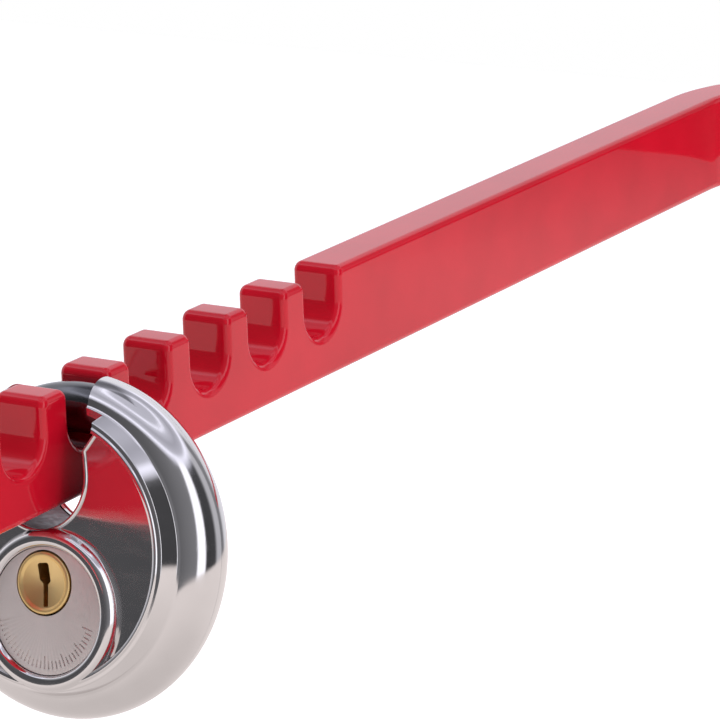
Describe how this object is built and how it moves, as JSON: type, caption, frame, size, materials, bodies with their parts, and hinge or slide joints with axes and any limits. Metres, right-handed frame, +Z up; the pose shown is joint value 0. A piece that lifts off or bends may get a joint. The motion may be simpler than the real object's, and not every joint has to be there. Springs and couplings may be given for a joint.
{
  "type": "notched wheel lock bar with disc padlock",
  "caption": "Notched flat steel bar, bent at one end, with a round disc padlock closed through a notch; the key cylinder turns the shackle open.",
  "frame": {"origin": "on the flat underside of the bar, mid width, below the far wall of the first notch next to the plain shank", "axes": "+Z up with the padlock hanging plumb, +X horizontally along the bar towards its bent end (the bar climbs 12.1 degrees), +Y towards the rear, away from the side the leg is bent to; the padlock's front faces -X"},
  "size_m": [0.3638, 0.1718, 0.1215],
  "materials": {
    "red_powder_coat": "glossy powder coat over steel",
    "polished_stainless": "mirror-polished stainless steel with fine scratches",
    "satin_stainless": "satin, bead-blasted",
    "zinc_casting": "raw zinc die casting",
    "hardened_steel": "zinc-plated hardened steel",
    "brass": "machined brass"
  },
  "bodies": {
    "bar": {"notched_bar": "red_powder_coat"},
    "padlock": {"front_shell": "polished_stainless", "rear_shell": "polished_stainless", "throat_liner": "polished_stainless", "core_block": "zinc_casting", "closing_block": "zinc_casting", "cylinder_face_plate": "satin_stainless", "anti_drill_disc": "hardened_steel", "cylinder_housing": "brass", "spring_cover": "brass", "driver_pin_1": "hardened_steel", "driver_pin_2": "hardened_steel", "driver_pin_3": "hardened_steel", "driver_pin_4": "hardened_steel", "pin_spring_1": "hardened_steel", "pin_spring_2": "hardened_steel", "pin_spring_3": "hardened_steel", "pin_spring_4": "hardened_steel"},
    "shackle": {"shackle": "polished_stainless", "shackle_drive_lug": "hardened_steel"},
    "plug": {"plug": "brass", "key_pin_1": "brass", "key_pin_2": "brass", "key_pin_3": "brass", "key_pin_4": "brass", "tail_cam": "hardened_steel", "cam_screw": "hardened_steel"}
  },
  "joints": [
    {"name": "padlock_swing", "type": "hinge", "parent": "bar", "child": "padlock", "pos_m": [-0.08674, 0, -0.00298], "axis": [0, 1, 0], "range_deg": [-22, 5]},
    {"name": "key_turn", "type": "hinge", "parent": "padlock", "child": "plug", "pos_m": [-0.08674, -0.00502, -0.03341], "axis": [1, 0, 0], "range_deg": [0, 100]},
    {"name": "shackle_turn", "type": "hinge", "parent": "padlock", "child": "shackle", "pos_m": [-0.08674, -0.004, -0.0276], "axis": [1, 0, 0], "range_deg": [0, 61.5]}
  ],
  "couplings": [
    {"joint": "shackle_turn", "follows": "key_turn", "ratio": 0.61}
  ]
}
